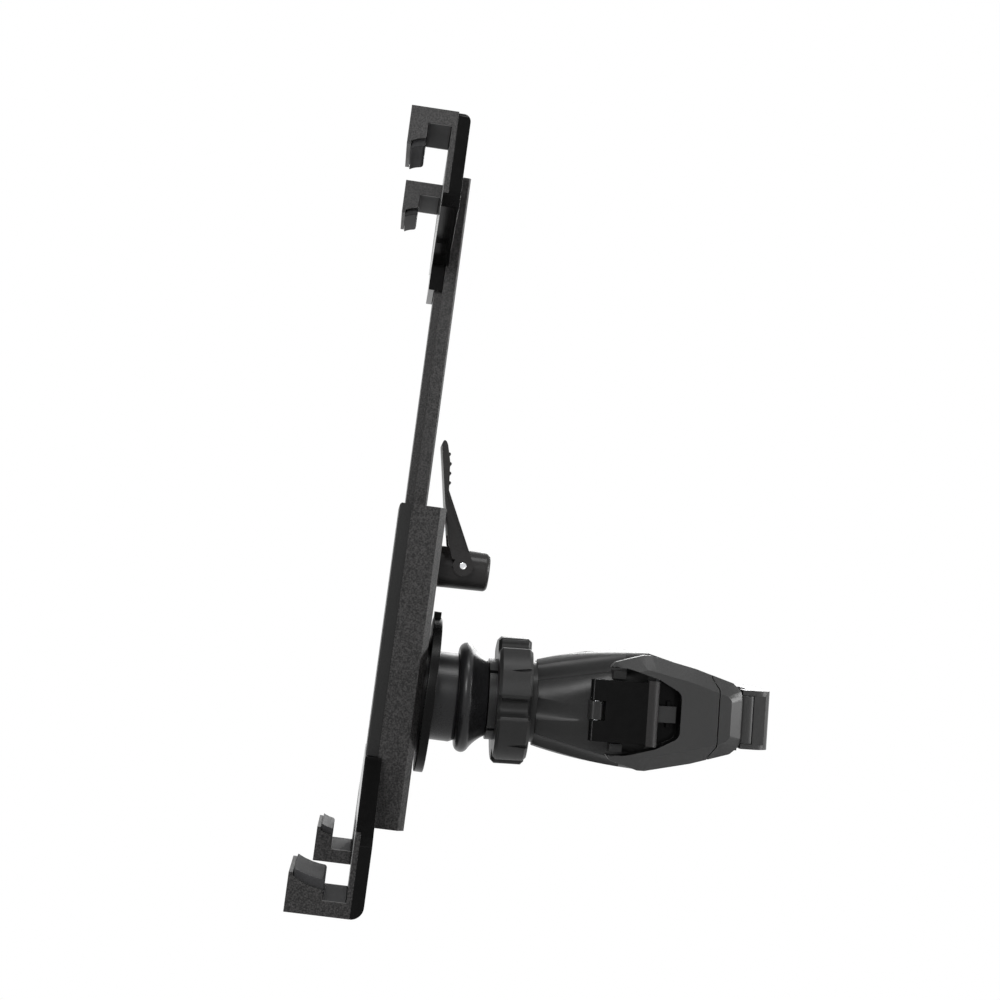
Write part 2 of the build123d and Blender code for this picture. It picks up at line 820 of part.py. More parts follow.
def make_claw(side, end, inward, reach):
    """Hooked shell of one claw: foot, floor, thin front lip and two low side walls."""
    y0, y1 = sorted((side * claw_inner_y, side * claw_outer_y))
    front = depth(tablet_front - reach)
    foot = depth(foot_front)
    foot_back = depth(arm_plate_front)
    body = side_shape(claw_side_points(reach, -claw_side_drop, claw_slope, 0, 0), y0, y1)
    body += block(front, front + claw_front_wall, y0, y1, 0, claw_height)
    pocket = block(front + claw_front_wall, foot + 1, y0 + claw_side_wall, y1 - claw_side_wall,
                   claw_floor, claw_height + 5)
    body -= pocket
    body += block(foot, foot_back, y0, y1, 0, arm_end_height)
    for y, w in claw_screw_places(0, 1):
        if y * side > 0:
            body -= rod_x(claw_screw_radius + 0.1, foot - 1, foot_back + 1, y, w)
            body -= rod_x(claw_screw_head + 0.1, foot - 1, foot + screw_head_depth, y, w)
    if inward < 0:
        body = mirror(body, Plane.XY)
    return leaned(Pos(0, 0, end) * body)


def make_claw_pad(side, end, inward, reach):
    """Rubber liner of one claw, a little proud of the shell's side walls."""
    y0, y1 = sorted((side * claw_inner_y, side * claw_outer_y))
    gap = 0.1
    points = claw_side_points(reach, pad_rise, pad_slope, claw_floor, claw_front_wall + gap)
    pad = side_shape(points, y0 + claw_side_wall + gap, y1 - claw_side_wall - gap)
    if inward < 0:
        pad = mirror(pad, Plane.XY)
    return leaned(Pos(0, 0, end) * pad)


def make_claw_screws(end, inward):
    """Four countersunk screws that hold a bracket's claws."""
    foot = depth(foot_front)
    back = depth(arm_plate_back) - screw_skin
    screws = []
    for y, w in claw_screw_places(end, inward):
        shank = rod_x(claw_screw_radius, foot + screw_head_depth, back, y, w)
        head = rod_x(claw_screw_head, foot + 0.1, foot + screw_head_depth, y, w)
        screws.append(leaned(shank + head))
    return Compound(children=screws)


# Extension bar

def make_extension_bar():
    """Flat bar with a narrower rib in front and a shallow brake track behind."""
    bottom = sleeve_top - bar_insert
    back = depth(bar_back)
    step = depth(bar_step)
    front = depth(bar_front)
    main_bar = block(step, back, -bar_half_width, bar_half_width, bottom, bar_top)
    main_bar = chamfer(main_bar.edges().filter_by(Axis.Z).group_by(Axis.X)[-1], 0.5)
    bar = main_bar + block(front, step + 0.1, -bar_rib_half_width, bar_rib_half_width, bottom, bar_top)
    bar -= block(back - brake_groove, back + 1, -brake_groove_half, brake_groove_half,
                 bottom + 4, upper_hub_bottom - 3)
    for w in bar_screw_places():
        bar -= rod_x(claw_screw_radius, front - 1, back - 1.5, 0, w)
    return leaned(bar)


def make_bar_screws():
    """Two screws from the front of the upper bracket into the bar."""
    front = depth(foot_front) + screw_head_depth
    screws = []
    for w in bar_screw_places():
        shank = rod_x(claw_screw_radius, front, depth(bar_back) - 1.5, 0, w)
        head = rod_x(claw_screw_head, front - screw_head_depth + 0.1, front, 0, w)
        screws.append(leaned(shank + head))
    return Compound(children=screws)


# Bar lock

def lock_point():
    """Lever pivot in the cradle's own frame."""
    return depth(lever_pivot_u), lock_w + lever_rise


def make_lock_housing():
    """Tapered round boss that carries the lever, the plunger and its springs."""
    back = depth(sleeve_back_u())
    end = depth(lock_end)
    x, w = lock_point()
    boss = rod_x(lock_radius, back, end, 0, lock_w, lock_end_radius)
    boss = fillet(boss.edges().filter_by(GeomType.CIRCLE).sort_by(Axis.X)[-1:], 1.4)
    boss -= rod_x(lock_bore + running, back - 1, depth(plunger_back) + 2.6, 0, lock_w)
    boss -= rod_y(lever_pin_radius + running, -lever_half_width, lever_half_width, x, w)
    return leaned(boss)


def make_brake_springs():
    """Pair of disc springs behind the plunger."""
    x = depth(plunger_back) + 2.6
    discs = rod_x(lock_bore - 0.2, x - 0.5, x, 0, lock_w)
    discs += rod_x(lock_bore - 0.2, x - 1.1, x - 0.6, 0, lock_w)
    discs += rod_x(lock_bore * 0.6, x - 0.7, x - 0.4, 0, lock_w)
    discs -= rod_x(lock_bore * 0.4, x - 2, x + 1, 0, lock_w)
    return leaned(discs)


def make_brake_plunger():
    """Plunger with a window for the lever pin."""
    x, w = lock_point()
    front = depth(bar_back) - brake_groove + seat_gap + pad_shoe
    plunger = rod_x(lock_bore, front, depth(plunger_back), 0, lock_w)
    half = lever_pin_radius + running
    side = lock_bore + 1
    front_x = x - brake_travel - 0.1
    window = block(front_x, x + 0.1, -side, side, w - half, w + half)
    window += rod_y(half, -side, side, front_x, w) + rod_y(half, -side, side, x + 0.1, w)
    return leaned(plunger - window)


def make_brake_pad():
    """Rubber shoe on the plunger's nose."""
    front = depth(bar_back) - brake_groove + seat_gap
    return leaned(rod_x(lock_bore - 0.3, front, front + pad_shoe, 0, lock_w))


def make_lock_lever():
    """Thumb lever that straddles the lock housing."""
    x, w = lock_point()
    rim = [
        (depth(18.5), w + 1.7), (depth(16.8), w + 6.1), (depth(14.9), w + 15.6), (depth(14.2), w + 18.0),
        (depth(lever_knee_u), w + lever_knee_rise),
        (depth(lever_tip_u), w + lever_tip_rise), (depth(11.6), w + lever_end_rise),
        (depth(12.6), w + lever_tip_rise - 0.2), (depth(14.0), w + 31.0),
        (depth(14.8), w + 22.3), (x + lever_heel * 0.94, w + 1.2),
    ]
    lever = side_shape(rim, -lever_half_width, lever_half_width)
    lever += rod_y(lever_heel, -lever_half_width, lever_half_width, x, w)
    for u, rise in ((14.6, 24.6), (14.3, 27.5), (14.05, 30.4), (13.4, 33.3)):
        lever += rod_y(rib_radius, -lever_half_width + 1, lever_half_width - 1, depth(u), w + rise)
    lever -= rod_y(lever_clear, -lever_slot_half, lever_slot_half, x, w)
    cheek = lever_half_width - 0.4
    face = [
        (depth(17.6), w + 6.0), (depth(15.0), w + 18.0), (depth(14.3), w + 21.5), (x + 1.2, w + 4.2),
    ]
    for y0, y1 in ((-lever_half_width - 1, -cheek), (cheek, lever_half_width + 1)):
        lever -= side_shape(face, y0, y1)
    lever -= rod_y(lever_pin_radius, -lever_half_width - 1, lever_half_width + 1, x, w)
    return leaned(lever)


def make_lever_pin():
    """Bright pin of the lever."""
    x, w = lock_point()
    return leaned(rod_y(lever_pin_radius, -lever_half_width, lever_half_width, x, w))


# Latch

def make_latch_lever():
    """Gloss flap with two hinge barrels, two ears for the link and a flared finger lip."""
    back = latch_y - 0.3
    front = latch_y - latch_barrel
    lip = latch_end - lip_length
    plate = block(latch_x, lip, front, front + latch_plate, -latch_half, latch_half)
    root = (lip - 0.1, front)
    tip = (latch_end - 0.4, front - lip_flare)
    curve = ThreePointArc(root, (lip + lip_length * 0.45, front - lip_flare * 0.25), tip)
    back_line = Polyline(tip, (latch_end, front - 0.1), (lip + 1.2, front + latch_plate),
                         (lip - 0.1, front + latch_plate), root)
    lip_face = Plane.XY.offset(-latch_end_half) * make_face([curve, back_line])
    plate += extrude(lip_face, 2 * latch_end_half, dir=(0, 0, 1))
    barrel_low = latch_lug_half + sliding
    for z0, z1 in ((barrel_low, latch_half), (-latch_half, -barrel_low)):
        plate += rod_z(latch_barrel, z0, z1, latch_x, latch_y)
    reach = latch_barrel + apart
    plate -= block(latch_x - reach, latch_x + reach, front - 1, back + 3, -barrel_low, barrel_low)
    ear_low = link_half + sliding
    ear_high = ear_low + ear_thickness
    for z0, z1 in ((ear_low, ear_high), (-ear_high, -ear_low)):
        plate += rod_z(ear_radius, z0, z1, link_x, link_y)
        plate += block(link_x - ear_radius, link_x + ear_radius, front + 0.5, link_y, z0, z1)
    plate -= rod_z(link_pin_radius, -ear_low - 2, ear_low + 2, link_x, link_y)
    plate -= rod_z(latch_pin_radius + running, -latch_half - 1, latch_half + 1, latch_x, latch_y)
    relief = latch_y - latch_barrel + latch_plate - 0.6
    plate -= block(link_x - 2.2, lip + 0.6, relief, back + 3, -ear_low, ear_low)
    return plate


def make_latch_hinge_pin():
    """Steel pin of the latch flap, pressed in the arm's lug."""
    return rod_z(latch_pin_radius, -latch_half, latch_half, latch_x, latch_y)


def make_link_pin():
    """Steel pin of the catch link."""
    end = link_half + sliding + ear_thickness
    return rod_z(link_pin_radius, -end, end, link_x, link_y)


def make_catch_link():
    """Draw link with an eye at one end and a hook at the other."""
    top = link_y - link_thickness / 2
    link = rod_z(1.35, -link_half, link_half, link_x, link_y)
    link += block(link_x, link_end, top, top + link_thickness, -link_half, link_half)
    hook_left = catch_x + catch_width + apart
    link += block(hook_left, link_end, top, -door_recess - 0.6, -link_half, link_half)
    return link - rod_z(link_pin_radius + running, -link_half - 1, link_half + 1, link_x, link_y)


def build_parts():
    """Every sub-part by its node name."""
    parts = {
        "arm_body": make_arm_body(),
        "clamp_body": make_clamp_body(),
        "clamp_screws": make_clamp_screws(),
        "far_pad": jaw_pad(1),
        "door_hinge_pin": make_door_hinge_pin(),
        "latch_hinge_pin": make_latch_hinge_pin(),
        "clamp_door": make_clamp_door(),
        "rear_cap": make_rear_cap(),
        "near_pad": jaw_pad(-1),
        "latch_lever": make_latch_lever(),
        "link_pin": make_link_pin(),
        "catch_link": make_catch_link(),
        "ring_nut": make_ring_nut(),
        "dish_socket": make_dish_socket(),
        "saddle_washer": make_saddle_washer(),
        "tie_bolt": make_tie_bolt(),
        "tie_nut": make_tie_nut(),
        "ball_dome": make_ball_dome(),
        "swivel_plate": make_swivel_plate(),
        "pivot_cap_washer": make_pivot_cap_washer(),
        "pivot_screw": make_pivot_screw(),
        "swivel_washer": make_swivel_washer(),
        "sleeve_back": make_sleeve_back(),
        "sleeve_front": make_sleeve_front(),
        "sleeve_screws": make_sleeve_screws(),
        "lower_arms": make_lower_arms(),
        "lower_claw_screws": make_claw_screws(lower_end, 1),
        "lock_housing": make_lock_housing(),
        "brake_springs": make_brake_springs(),
        "brake_plunger": make_brake_plunger(),
        "brake_pad": make_brake_pad(),
        "lock_lever": make_lock_lever(),
        "lever_pin": make_lever_pin(),
        "extension_bar": make_extension_bar(),
        "upper_arms": make_upper_arms(),
        "bar_screws": make_bar_screws(),
        "upper_claw_screws": make_claw_screws(upper_end, -1),
    }
    claws = (
        ("upper_near", -1, upper_end, -1, upper_reach),
        ("upper_far", 1, upper_end, -1, upper_reach),
        ("lower_near", -1, lower_end, 1, lower_reach_near),
        ("lower_far", 1, lower_end, 1, lower_reach_far),
    )
    for name, side, end, inward, reach in claws:
        parts[name + "_claw"] = make_claw(side, end, inward, reach)
        parts[name + "_pad"] = make_claw_pad(side, end, inward, reach)
    return parts


def main():
    """Writes one STEP file for each sub-part."""
    os.makedirs("parts", exist_ok=True)
    for name, part in build_parts().items():
        export_step(part, "parts/" + name + ".step")


main()
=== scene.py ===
import logging
import math
from dataclasses import dataclass
from enum import Enum
from typing import Callable, NamedTuple, Optional, Sequence, Union

import bpy
from mathutils import Matrix, Vector


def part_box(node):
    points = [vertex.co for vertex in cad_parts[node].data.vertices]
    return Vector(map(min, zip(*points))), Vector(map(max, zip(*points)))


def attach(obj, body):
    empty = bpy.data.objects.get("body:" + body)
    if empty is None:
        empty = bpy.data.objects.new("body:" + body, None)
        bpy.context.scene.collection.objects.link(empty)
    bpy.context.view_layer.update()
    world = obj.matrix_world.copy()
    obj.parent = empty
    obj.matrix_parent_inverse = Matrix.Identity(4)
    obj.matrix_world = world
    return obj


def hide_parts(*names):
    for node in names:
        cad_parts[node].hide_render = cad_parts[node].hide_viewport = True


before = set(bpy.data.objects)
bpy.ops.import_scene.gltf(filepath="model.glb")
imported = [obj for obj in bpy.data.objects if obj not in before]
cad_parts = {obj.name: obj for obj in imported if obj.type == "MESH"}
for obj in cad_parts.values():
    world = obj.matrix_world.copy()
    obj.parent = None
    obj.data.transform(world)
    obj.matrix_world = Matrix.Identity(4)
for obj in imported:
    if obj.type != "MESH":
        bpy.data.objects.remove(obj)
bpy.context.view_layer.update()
LOG = logging.getLogger("headrest_tablet_mount")

Triple = tuple[float, float, float]

# One millimetre in the scene's metres
MM = 0.001
ORIGIN = (0.0, 0.0, 0.0)
WHITE = (1.0, 1.0, 1.0, 1.0)

# How far the cradle leans back, and the way its front faces
LEAN = math.radians(3.6)
CRADLE_FRONT = Vector((-math.cos(LEAN), 0.0, math.sin(LEAN)))
# The clamp's screws face the rear, and the lever's pin lies crosswise
REAR = Vector((1.0, 0.0, 0.0))
CROSSWISE = Vector((0.0, 1.0, 0.0))

# In a copied CAD mesh, points this near are one, and faces this close in slope are one flat face
MERGE_MM = 0.002
FLAT_DEG = 0.6
# A plain screw's points this near its top belong to its head's face
CAP_MM = 0.02
# A face looks along Z where its normal's height is more than this
ALONG_Z = 0.99

# Edges sharper than these stay sharp in the shading: on most pieces, on the clamp's door and
# flap, on the lever, and on the rear cap
SMOOTH_DEG = 32.0
DOOR_DEG = 38.0
LEVER_DEG = 40.0
CAP_DEG = 75.0
# Edges sharper than these are rounded: on mouldings, and on metal and other small pieces
MOULDING_DEG = 28.0
SMALL_DEG = 50.0

# The fine grain's noise
GRAIN_DETAIL = 2.0
GRAIN_ROUGHNESS = 0.55
# Faint dull and bright areas that handling leaves, this far apart in millimetres
HANDLING_MM = 14.0
HANDLING_DETAIL = 3.0
# The two noises added together run between these, and no surface is smoother than the last value
NOISE_LOW = 0.7
NOISE_HIGH = 1.3
SMOOTHEST = 0.04


def linear(colour: str) -> tuple[float, float, float, float]:
    """Turns an sRGB hex colour into a linear one.

    Args:
        colour: six hex digits after a hash sign.

    Returns:
        Linear red, green, blue and an alpha of one.
    """
    parts = [int(colour[i:i + 2], 16) / 255 for i in (1, 3, 5)]
    red, green, blue = (c / 12.92 if c <= 0.04045 else ((c + 0.055) / 1.055) ** 2.4 for c in parts)
    return red, green, blue, 1.0


def emptied_tree(owner: Union[bpy.types.Material, bpy.types.World]) -> bpy.types.NodeTree:
    """Turns a material's or world's nodes on and clears them.

    Args:
        owner: the material or world.

    Returns:
        Its empty node tree.
    """
    owner.use_nodes = True
    owner.node_tree.nodes.clear()
    return owner.node_tree


def add_node(tree: bpy.types.NodeTree, kind: str, settings: Optional[dict[str, object]] = None,
             links: Optional[dict[Union[str, int], bpy.types.NodeSocket]] = None,
             ) -> bpy.types.Node:
    """Adds one node with its settings and links.

    Args:
        tree: the node tree.
        kind: the node's type name.
        settings: attribute or input names with their values.
        links: input names, or numbers where names repeat, with the output socket that feeds each.

    Returns:
        The new node.
    """
    node = tree.nodes.new(kind)
    for name, value in (settings or {}).items():
        if name in node.inputs:
            node.inputs[name].default_value = value
        else:
            setattr(node, name, value)
    for name, socket in (links or {}).items():
        tree.links.new(socket, node.inputs[name])
    return node


class GrainLook(NamedTuple):
    """Where the grain's noise is darkest and lightest, and how far the roughness strays."""

    dark_at: float
    light_at: float
    spread: float


class Grain(Enum):
    """How a surface breaks up at close range."""

    SPARK = GrainLook(0.36, 0.66, 0.10)
    SATIN = GrainLook(0.30, 0.80, 0.05)
    GLOSS = GrainLook(0.20, 0.90, 0.02)
    METAL = GrainLook(0.35, 0.70, 0.07)


@dataclass(frozen=True)
class Finish:
    """One finish of the mount, named for its material and how it was made."""

    name: str
    slot: str
    colour: str
    light_colour: str
    roughness: float
    grain: Grain
    grain_mm: float
    depth_mm: float
    specular: float = 0.5
    metallic: float = 0.0

    def material(self) -> bpy.types.Material:
        """Makes the finish's material once, and hands it out again.

        Returns:
            The material.
        """
        ready = bpy.data.materials.get(self.name)
        if ready:
            return ready
        made = bpy.data.materials.new(self.name)
        tree = emptied_tree(made)
        look = self.grain.value
        place = add_node(tree, "ShaderNodeTexCoord")
        grain = add_node(tree, "ShaderNodeTexNoise",
                         {"Scale": 1.0 / (self.grain_mm * MM), "Detail": GRAIN_DETAIL,
                          "Roughness": GRAIN_ROUGHNESS},
                         {"Vector": place.outputs["Object"]})
        handled = add_node(tree, "ShaderNodeTexNoise",
                           {"Scale": 1.0 / (HANDLING_MM * MM), "Detail": HANDLING_DETAIL},
                           {"Vector": place.outputs["Object"]})
        ramp = add_node(tree, "ShaderNodeValToRGB", {}, {"Fac": grain.outputs["Fac"]})
        stops = ((look.dark_at, self.colour), (look.light_at, self.light_colour))
        for stop, (position, colour) in zip(ramp.color_ramp.elements, stops):
            stop.position = position
            stop.color = linear(colour)
        both = add_node(tree, "ShaderNodeMath", {"operation": "ADD"},
                        {0: grain.outputs["Fac"], 1: handled.outputs["Fac"]})
        shine = add_node(tree, "ShaderNodeMapRange",
                         {"From Min": NOISE_LOW, "From Max": NOISE_HIGH,
                          "To Min": max(self.roughness - look.spread, SMOOTHEST),
                          "To Max": self.roughness + look.spread},
                         {"Value": both.outputs["Value"]})
        bump = add_node(tree, "ShaderNodeBump", {"Strength": 1.0, "Distance": self.depth_mm * MM},
                        {"Height": grain.outputs["Fac"]})
        shader = add_node(tree, "ShaderNodeBsdfPrincipled",
                          {"Metallic": self.metallic, "Specular IOR Level": self.specular},
                          {"Base Color": ramp.outputs["Color"],
                           "Roughness": shine.outputs["Result"],
                           "Normal": bump.outputs["Normal"]})
        add_node(tree, "ShaderNodeOutputMaterial", {}, {"Surface": shader.outputs["BSDF"]})
        return made


# Glass-filled nylon from a spark eroded mould: a coarse, sparkling, dark grey skin
TEXTURED_NYLON = Finish("spark_moulded_nylon", "textured_grey", "#0c0c0c", "#313030",
                        roughness=0.42, grain=Grain.SPARK, grain_mm=0.45, depth_mm=0.06,
                        specular=0.18)
# The same nylon where the mould was only stoned: darker and nearly smooth
STONED_NYLON = Finish("stoned_mould_nylon", "textured_grey", "#151515", "#1f1f1f",
                      roughness=0.4, grain=Grain.SATIN, grain_mm=0.4, depth_mm=0.01,
                      specular=0.14)
# ABS from a satin mould: an even dark skin with a soft sheen
SATIN_ABS = Finish("satin_moulded_abs", "satin_black", "#171717", "#212121",
                   roughness=0.36, grain=Grain.SATIN, grain_mm=0.3, depth_mm=0.006, specular=0.17)
# ABS from a fine matt mould: a slightly darker, even skin
MATT_ABS = Finish("matt_moulded_abs", "fine_black", "#131314", "#1d1d1e",
                  roughness=0.3, grain=Grain.SATIN, grain_mm=0.3, depth_mm=0.006, specular=0.24)
# The swivel plate's ABS: the same mould finish, smoother and nearly black
NEAR_BLACK_ABS = Finish("near_black_moulded_abs", "fine_black", "#060606", "#0b0b0b",
                  roughness=0.28, grain=Grain.SATIN, grain_mm=0.3, depth_mm=0.004, specular=0.07)
# ABS from a polished mould: deep black with sharp highlights
GLOSS_ABS = Finish("polished_abs", "gloss_black", "#060606", "#0a0a0a",
                   roughness=0.15, grain=Grain.GLOSS, grain_mm=2.0, depth_mm=0.003, specular=0.06)
# The lever's ABS, polished less: dark grey with a soft gloss
LEVER_ABS = Finish("half_polished_abs", "gloss_black", "#1d1c1c", "#242323",
                   roughness=0.3, grain=Grain.SATIN, grain_mm=0.3, depth_mm=0.004, specular=0.16)
# Nylon of the clamp frame: dark grey, soft sheen
CLAMP_NYLON = Finish("satin_moulded_nylon", "clamp_grey", "#232323", "#303030",
                     roughness=0.36, grain=Grain.SATIN, grain_mm=0.25, depth_mm=0.01,
                     specular=0.22)
# Silicone rubber: matt, faintly dusty
SILICONE = Finish("moulded_silicone", "rubber", "#232324", "#2f2f30",
                  roughness=0.62, grain=Grain.SATIN, grain_mm=0.35, depth_mm=0.008, specular=0.15)
# Carbon steel with a zinc plating: grey metal with a fine tumbled skin
ZINC_STEEL = Finish("zinc_plated_steel", "steel", "#8c8d90", "#a9aaad",
                    roughness=0.34, grain=Grain.METAL, grain_mm=0.25, depth_mm=0.004,
                    metallic=1.0)
# Stainless pin, ground and polished: bright and sharp
GROUND_STEEL = Finish("ground_stainless", "bright_steel", "#c9cacc", "#dcdddf",
                      roughness=0.2, grain=Grain.METAL, grain_mm=0.2, depth_mm=0.002,
                      metallic=1.0)


def place_object(name: str, data: bpy.types.ID) -> bpy.types.Object:
    """Makes an object of a mesh, lamp or camera and puts it in the scene.

    Args:
        name: the object's name.
        data: its mesh, lamp or camera.

    Returns:
        The object.
    """
    placed = bpy.data.objects.new(name, data)
    bpy.context.scene.collection.objects.link(placed)
    return placed


def deselect() -> None:
    """Leaves nothing selected and nothing active."""
    if bpy.context.object and bpy.context.object.mode != "OBJECT":
        bpy.ops.object.mode_set(mode="OBJECT")
    bpy.ops.object.select_all(action="DESELECT")
    bpy.context.view_layer.objects.active = None


def choose(piece: bpy.types.Object) -> None:
    """Makes one piece the only selected and the active one.

    Args:
        piece: the object.
    """
    deselect()
    piece.select_set(True)
    bpy.context.view_layer.objects.active = piece


def apply_modifier(piece: bpy.types.Object, name: str, kind: str, **settings: object) -> None:
    """Adds a modifier with its settings and applies it.

    Args:
        piece: the object.
        name: the modifier's name.
        kind: its type name.
        **settings: its attributes with their values.
    """
    choose(piece)
    modifier = piece.modifiers.new(name, kind)
    for setting, value in settings.items():
        setattr(modifier, setting, value)
    bpy.ops.object.modifier_apply(modifier=modifier.name)


def round_edges(piece: bpy.types.Object, width_mm: float, steps: int = 3,
                angle_deg: float = MOULDING_DEG) -> None:
    """Rounds a piece's sharp edges.

    Args:
        piece: the object.
        width_mm: the rounding's width.
        steps: its number of steps.
        angle_deg: edges sharper than this are rounded.
    """
    apply_modifier(piece, "rounding", "BEVEL", width=width_mm * MM, segments=steps,
                   limit_method="ANGLE", angle_limit=math.radians(angle_deg),
                   use_clamp_overlap=True, miter_outer="MITER_ARC")


def cut_away(piece: bpy.types.Object, cutter: bpy.types.Object, crossing: bool = False) -> None:
    """Cuts one shape out of a piece and removes the cutter.

    Args:
        piece: the object that keeps what is left.
        cutter: the shape that is cut out.
        crossing: whether the cutter is made of shapes that cross each other.
    """
    apply_modifier(piece, "cut", "BOOLEAN", object=cutter, solver="EXACT", use_self=crossing)
    bpy.data.objects.remove(cutter)


def finish_piece(piece: bpy.types.Object, name: str, body: str, finish: Finish,
                 nodes: Sequence[str] = (), smooth_deg: float = SMOOTH_DEG) -> None:
    """Names a piece, dresses it, smooths it and lets it ride.

    Args:
        piece: the object, in place.
        name: its name.
        body: the CAD body that it moves with.
        finish: its finish.
        nodes: CAD nodes that it stands for.
        smooth_deg: edges sharper than this stay sharp.
    """
    choose(piece)
    piece.name = name
    piece.data.name = name
    bpy.ops.object.transform_apply(location=True, rotation=True, scale=True)
    bpy.ops.object.shade_smooth_by_angle(angle=math.radians(smooth_deg))
    apply_modifier(piece, "even_shading", "WEIGHTED_NORMAL", keep_sharp=True)
    piece.data.materials.clear()
    piece.data.materials.append(finish.material())
    if nodes:
        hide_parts(*nodes)
    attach(piece, body)
    deselect()
    LOG.info("%s rides on %s, %d faces", name, body, len(piece.data.polygons))


def merged_copy(node: str) -> bpy.types.Object:
    """Copies a CAD node's mesh and joins its loose triangles.

    Args:
        node: the CAD node.

    Returns:
        The new object, with flat faces joined.
    """
    copy = place_object(node + "_shape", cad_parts[node].data.copy())
    choose(copy)
    bpy.ops.object.mode_set(mode="EDIT")
    bpy.ops.mesh.select_all(action="SELECT")
    bpy.ops.mesh.remove_doubles(threshold=MERGE_MM * MM)
    bpy.ops.mesh.dissolve_limited(angle_limit=math.radians(FLAT_DEG))
    bpy.ops.object.mode_set(mode="OBJECT")
    return copy


def facing(piece: bpy.types.Object, direction: Vector) -> None:
    """Turns a piece from +Z to a direction, about the origin.

    Args:
        piece: the object, modelled along +Z.
        direction: the way that its +Z is to face.
    """
    piece.rotation_euler = direction.to_track_quat("Z", "Y").to_euler()


def select_faces(piece: bpy.types.Object, upward: int) -> None:
    """Selects, in edit mode, the piece's flat faces that look along +Z or -Z.

    Args:
        piece: the object, active and in edit mode.
        upward: +1 for the faces that look up, -1 for those that look down.
    """
    bpy.ops.mesh.select_all(action="DESELECT")
    bpy.ops.mesh.select_mode(type="FACE")
    bpy.ops.object.mode_set(mode="OBJECT")
    for face in piece.data.polygons:
        face.select = face.normal.z * upward > ALONG_Z
    bpy.ops.object.mode_set(mode="EDIT")


@dataclass(frozen=True)
class ScrewKind:
    """One kind of screw in millimetres: its head, its shank and the cross in its head."""

    head_radius: float
    head_height: float
    shank_radius: float
    cross_span: float
    cross_width: float
    cross_depth: float


SLEEVE_SCREW = ScrewKind(head_radius=1.8, head_height=1.2, shank_radius=1.0,
                         cross_span=2.1, cross_width=0.5, cross_depth=0.7)
BRACKET_SCREW = ScrewKind(head_radius=1.9, head_height=0.7, shank_radius=1.1,
                          cross_span=2.3, cross_width=0.55, cross_depth=0.45)
CLAMP_SCREW = ScrewKind(head_radius=3.6, head_height=2.2, shank_radius=2.0,
                        cross_span=4.2, cross_width=0.9, cross_depth=1.4)


class ScrewPlace(NamedTuple):
    """Where one screw sits: the middle of its head's face, and how deep it reaches."""

    head: Vector
    depth: float


@dataclass(frozen=True)
class CrossScrews:
    """A set of cross-recessed screws that stands for one CAD node of plain screws."""

    node: str
    body: str
    direction: Vector
    kind: ScrewKind
    facets: int = 32
    rounding: float = 0.12
    rounding_steps: int = 2
    cross_taper: Triple = (0.55, 0.8, 1.0)

    def places(self) -> list[ScrewPlace]:
        """Finds each plain screw of the CAD node.

        Returns:
            One place per screw.
        """
        choose(merged_copy(self.node))
        bpy.ops.object.mode_set(mode="EDIT")
        bpy.ops.mesh.select_all(action="SELECT")
        bpy.ops.mesh.separate(type="LOOSE")
        bpy.ops.object.mode_set(mode="OBJECT")
        found = []
        for plain in list(bpy.context.selected_objects):
            points = plain.data.vertices
            reach = [point.co.dot(self.direction) for point in points]
            top, bottom = max(reach), min(reach)
            cap = [point.co for point, r in zip(points, reach) if r > top - CAP_MM * MM]
            found.append(ScrewPlace(sum(cap, Vector()) / len(cap), top - bottom))
            bpy.data.objects.remove(plain)
        return found

    def cutter(self) -> bpy.types.Object:
        """Models the tapered cross that the recess is cut with.

        Returns:
            The cutter, with its middle at the origin.
        """
        deselect()
        bpy.ops.mesh.primitive_cube_add(size=1.0)
        cross = bpy.context.object
        bpy.ops.object.mode_set(mode="EDIT")
        bpy.ops.transform.resize(value=(self.kind.cross_span * MM, self.kind.cross_width * MM,
                                        2 * self.kind.cross_depth * MM))
        select_faces(cross, -1)
        bpy.ops.transform.resize(value=self.cross_taper)
        bpy.ops.mesh.select_all(action="SELECT")
        bpy.ops.mesh.duplicate()
        bpy.ops.transform.rotate(value=math.radians(90), orient_axis="Z", center_override=ORIGIN)
        bpy.ops.object.mode_set(mode="OBJECT")
        return cross

    def screw(self, depth: float) -> bpy.types.Object:
        """Models one screw along Z, with the middle of its head's face at the origin.

        Args:
            depth: how far it reaches below its head's face, in metres.

        Returns:
            The screw.
        """
        head_height = self.kind.head_height * MM
        deselect()
        bpy.ops.mesh.primitive_cylinder_add(
            vertices=self.facets, radius=self.kind.head_radius * MM, depth=head_height,
            location=(0.0, 0.0, -head_height / 2))
        screw = bpy.context.object
        bpy.ops.object.transform_apply(location=True, rotation=True, scale=True)
        bpy.ops.object.mode_set(mode="EDIT")
        select_faces(screw, -1)
        bpy.ops.mesh.inset(thickness=(self.kind.head_radius - self.kind.shank_radius) * MM)
        bpy.ops.mesh.extrude_region_move(
            TRANSFORM_OT_translate={"value": (0.0, 0.0, head_height - depth)})
        bpy.ops.object.mode_set(mode="OBJECT")
        round_edges(screw, self.rounding, self.rounding_steps, SMALL_DEG)
        cut_away(screw, self.cutter(), crossing=True)
        return screw

    def build(self) -> None:
        """Sets a screw at each place and dresses the set."""
        places = self.places()
        first = self.screw(places[0].depth)
        screws = []
        for place in places:
            screw = place_object(self.node + "_one", first.data.copy())
            facing(screw, self.direction)
            screw.location = place.head
            screws.append(screw)
        bpy.data.objects.remove(first)
        deselect()
        for screw in screws:
            screw.select_set(True)
        bpy.context.view_layer.objects.active = screws[0]
        bpy.ops.object.join()
        finish_piece(screws[0], self.node + "_crossed", self.body, ZINC_STEEL, (self.node,))


